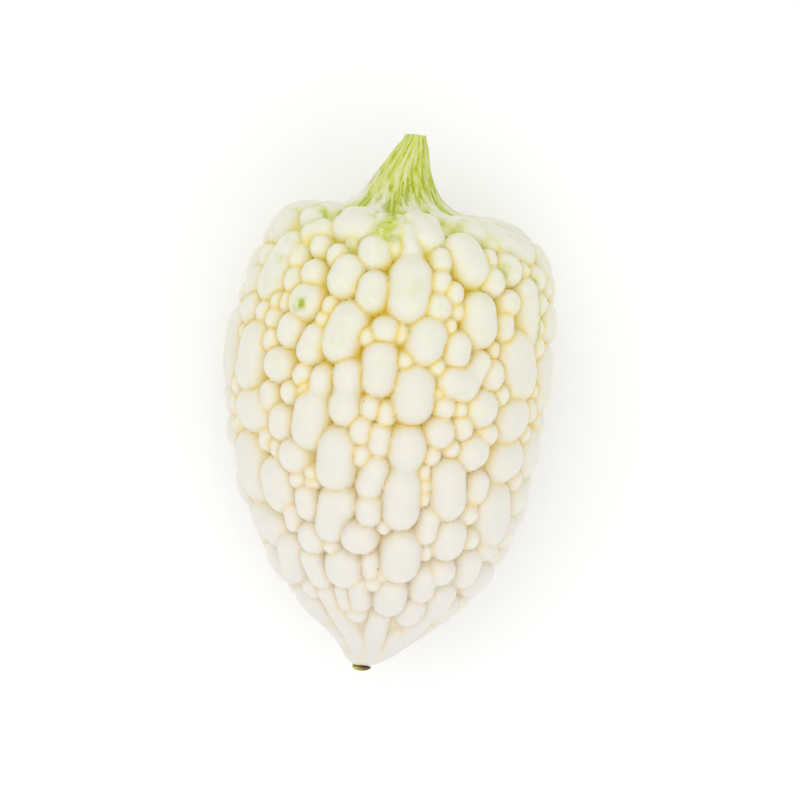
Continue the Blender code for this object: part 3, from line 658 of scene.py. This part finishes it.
def cream_skin(wire, place, low, apart, level):
    """Pale domes and yellower creases, with faint green blotches and dots on the upper domes.

    Its yellower tint is painted glow, standing in for light that bounces through the flesh into the creases.
    It fills the floor between the warts. Along a crease it is a thin line in a wide soft halo. It is richer
    on the upper half.
    """
    # Painted glow: a yellower tint laid on the floor between the warts and along the creases, standing in for
    # light that bounces in the flesh
    floor_glow = low.ease(0.25, 0.95) * 0.8
    halo = apart.ease(0.9, 0.0) * low.ease(0.05, 0.5) * 0.55
    line = apart.ease(0.2, 0.0) * low.ease(0.1, 0.45) * 0.25
    glow_richness = level.ease(0.25, 0.55) * 0.5 + 0.75
    painted_glow = wire.maths("MAXIMUM", floor_glow, halo + line) * glow_richness
    cream = wire.blend(level.ramp(DOME_COLOURS), level.ramp(CREASE_GLOW_COLOURS), painted_glow)
    on_domes = (1 - low.ease(0.0, 0.4)) * level.ease(0.4, 0.75)
    blotches = wire.noise(place, 260.0, 3.0).ease(0.5, 0.68) * on_domes
    dots = wire.noise(place, 1100.0, 1.0).ease(0.62, 0.72) * level.ease(0.5, 0.8)
    return wire.blend(cream, BLOTCH_GREEN, blotches * 0.35 + dots * 0.4)


def green_skin(wire, place, fibres):
    """Green of the stem, with darker and paler fibres and fine pale pores."""
    green = wire.blend(STEM_GREEN, DARK_GREEN, fibres.ease(0.88, 1.04))
    green = wire.blend(green, PALE_FIBRE, fibres.ease(0.88, 0.72) * 0.8)
    return wire.blend(green, PALE_FIBRE, wire.noise(place, 2200.0, 0.0).ease(0.6, 0.75) * 0.5)


def with_specks(wire, place, colour):
    """The colour with the brown specks on it: each is brown near its middle, with a rough edge."""
    for turn, up in SPECKS:
        turn = math.radians(turn)
        middle = outline_point(turn, up) - SPECK_SINK * outline_normal(turn, up)
        laid = lay_down(middle[None])[0]
        away = wire.node("ShaderNodeVectorMath", {"operation": "DISTANCE"}, {0: place, 1: laid}, 1)
        edge = away + wire.noise(place, 2500.0) * SPECK_ROUGHNESS
        colour = wire.blend(colour, SPECK_BROWN, edge.ease(*SPECK_EDGE) * 0.8)
    return colour


def skin_finish(name, roughness, deep):
    """Waxy cream skin that turns green towards the stem, sooner in its creases and along its streaks.

    A mark is green where it is above zero, and below zero it holds the green of the stem back. Light
    goes deep into the skin where deep is set, but not next to the stem, where it would darken the
    seam.
    """
    material, wire, shader = finish_of(name)
    low, apart, up, marks = (wire.attribute(layer) for layer in ("low", "apart", "up", "green"))
    fibre = wire.attribute("fibre", 1)
    place = wire.node("ShaderNodeTexCoord", {}, {}, "Object")
    streak = wire.noise(fibre, 3.0, 4.0)
    vein = wire.noise(fibre, 1.1, 1.0)

    reach = up + low * 14.0 + streak * 18.0 + vein * 20.0 - 19.0
    held_back = wire.maths("MINIMUM", marks, 0.0) * 14.0
    marked = marks * streak.ease(0.2, 0.5)
    greenness = wire.maths("MAXIMUM", (reach + held_back).ease(*GREEN_FROM), marked)
    cream = cream_skin(wire, place, low, apart, up / FULL_UP)
    green = green_skin(wire, place, streak + vein * 0.8)
    colour = with_specks(wire, place, wire.blend(cream, green, greenness))

    grain = wire.noise(place, 900.0)
    bump = wire.node("ShaderNodeBump", {}, {"Strength": 0.25, "Distance": 0.0003, "Height": grain})
    skin = {"Base Color": colour, "Roughness": roughness + grain * 0.1 - 0.05, "IOR": 1.42, "Normal": bump}
    feed(shader, skin)
    if deep:
        flesh = wire.node("ShaderNodeBsdfPrincipled", {}, {**skin, **DEEP_LIGHT})
        plain = Wire(wire.tree, shader.outputs[0])
        both = wire.node("ShaderNodeMixShader", {}, {0: up.ease(*SOLID_FROM), 1: flesh, 2: plain})
        feed(wire.tree.nodes["Material Output"], {"Surface": both})
    return material


melon_warts = all_warts()
pod = skin_piece("pod_skin", up_at(TIP_DISC), up_at(STEM_FOOT), POD_RINGS, melon_warts)
pod.data.materials.append(skin_finish("waxy_melon_skin", 0.42, True))
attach(pod, "root")
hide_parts("fruit")


# Stem: the green stalk that the vine held the melon by, ribbed along its length and cut off short.
# It flares into the shoulder in one piece with the skin.
STEM_RINGS = 80

stem = skin_piece("cut_stem", up_at(STEM_FOOT), outline_up[-1], STEM_RINGS, melon_warts)
stem.data.materials.append(skin_finish("ribbed_stem_skin", 0.5, False))
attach(stem, "root")
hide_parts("stem")


# Blossom scar: what is left of the flower, dried to a small olive and brown button on the tip.
SCAR_SEGMENTS = 60
SCAR_RINGS = 24

# How high it stands from its seat, how far that is kept clear of the tip, both in mm, and its form
SCAR_HEIGHT = 1.1
SCAR_GAP = 0.3
SCAR_SEAT = TIP_DISC - SCAR_GAP
SCAR_LOBES = 5
SCAR_WAVE = 0.08
SCAR_ROUNDNESS = 0.96

TISSUE_COLOURS = ((0.35, (0.10, 0.05, 0.015)), (0.5, (0.24, 0.17, 0.03)), (0.65, (0.46, 0.45, 0.07)))


def scar_rings():
    """A low button: its radius falls with height much as an ellipse's, waved SCAR_LOBES times round."""
    turn = np.linspace(0.0, 2 * math.pi, SCAR_SEGMENTS, endpoint=False)
    turn, level = (grid.ravel() for grid in np.meshgrid(turn, np.linspace(1.0, 0.0, SCAR_RINGS)))
    wave = 1 + SCAR_WAVE * np.sin(SCAR_LOBES * turn)
    radius = float(radius_at(up_at(TIP_DISC))) * wave * np.sqrt(1 - SCAR_ROUNDNESS * level**2)
    return np.stack([radius * np.sin(turn), SCAR_SEAT - SCAR_HEIGHT * level, radius * np.cos(turn)], axis=1)


def scar_finish():
    """Dry tissue, blotched by noise: brown on the right and olive on the left."""
    material, wire, shader = finish_of("dry_scar_tissue")
    place = wire.node("ShaderNodeTexCoord", {}, {}, "Object")
    across = wire.node("ShaderNodeSeparateXYZ", {}, {0: place})
    patches = wire.noise(place, 900.0, 3.0) * 0.6 + across * -90.0 + 0.27
    feed(shader, {"Base Color": patches.ramp(TISSUE_COLOURS), "Roughness": 0.8})
    return material


scar_poles = [[0.0, SCAR_SEAT - SCAR_HEIGHT, 0.0], [0.0, SCAR_SEAT, 0.0]]
laid = lay_down(np.concatenate([scar_rings(), scar_poles]))
scar = closed_body("dry_blossom_scar", laid[:-2], SCAR_SEGMENTS, laid[-2], laid[-1])
scar.data.materials.append(scar_finish())
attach(scar, "root")
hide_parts("blossom_scar")


# Studio: a plain pale floor, soft light from the upper left and all round, and the camera that
# looks down on the melon.
FLOOR_SIZE = 3.0
SKY_STRENGTH = 0.87
LIGHT_AIM = Vector((0.0, 0.0, 0.03))
CAMERA_PLACE = (0.00065, -0.0522, 0.8391)
CAMERA_AIM = (0.00385, 0.0013, 0.0392)
CAMERA_ROLL = math.radians(5.57)
CAMERA_LENS = 144.0

bpy.ops.mesh.primitive_plane_add(size=FLOOR_SIZE, location=(0.0, 0.0, 0.0))
floor = bpy.context.object
floor.name = "floor"
pale, _, pale_shader = finish_of("pale_floor")
feed(pale_shader, {"Base Color": (0.97, 0.97, 0.97, 1.0), "Roughness": 0.7})
floor.data.materials.append(pale)

world = bpy.data.worlds.new("studio")
world.use_nodes = True
feed(world.node_tree.nodes["Background"], {"Color": (1.0, 1.0, 1.0, 1.0), "Strength": SKY_STRENGTH})
bpy.context.scene.world = world


def soft_light(name, place, size, power):
    """A square soft box that faces the melon."""
    lamp = bpy.data.lights.new(name, "AREA")
    lamp.size = size
    lamp.energy = power
    holder = bpy.data.objects.new(name, lamp)
    holder.location = place
    holder.rotation_euler = (LIGHT_AIM - Vector(place)).to_track_quat("-Z", "Y").to_euler()
    bpy.context.scene.collection.objects.link(holder)


soft_light("key_light", place=(-0.35, 0.1, 1.2), size=1.4, power=3.6)
soft_light("fill_light", place=(0.3, -0.7, 1.0), size=1.0, power=2.4)

camera = bpy.data.objects.new("camera", bpy.data.cameras.new("camera"))
camera.data.lens = CAMERA_LENS
camera.data.sensor_width = 36.0
back = (Vector(CAMERA_PLACE) - Vector(CAMERA_AIM)).normalized()
right = Vector((-math.sin(CAMERA_ROLL), math.cos(CAMERA_ROLL), 0.0)).cross(back).normalized()
facing = Matrix((right, back.cross(right), back)).transposed()
camera.matrix_world = Matrix.Translation(CAMERA_PLACE) @ facing.to_4x4()
bpy.context.scene.collection.objects.link(camera)
bpy.context.scene.camera = camera
bpy.context.scene.view_settings.view_transform = "Standard"
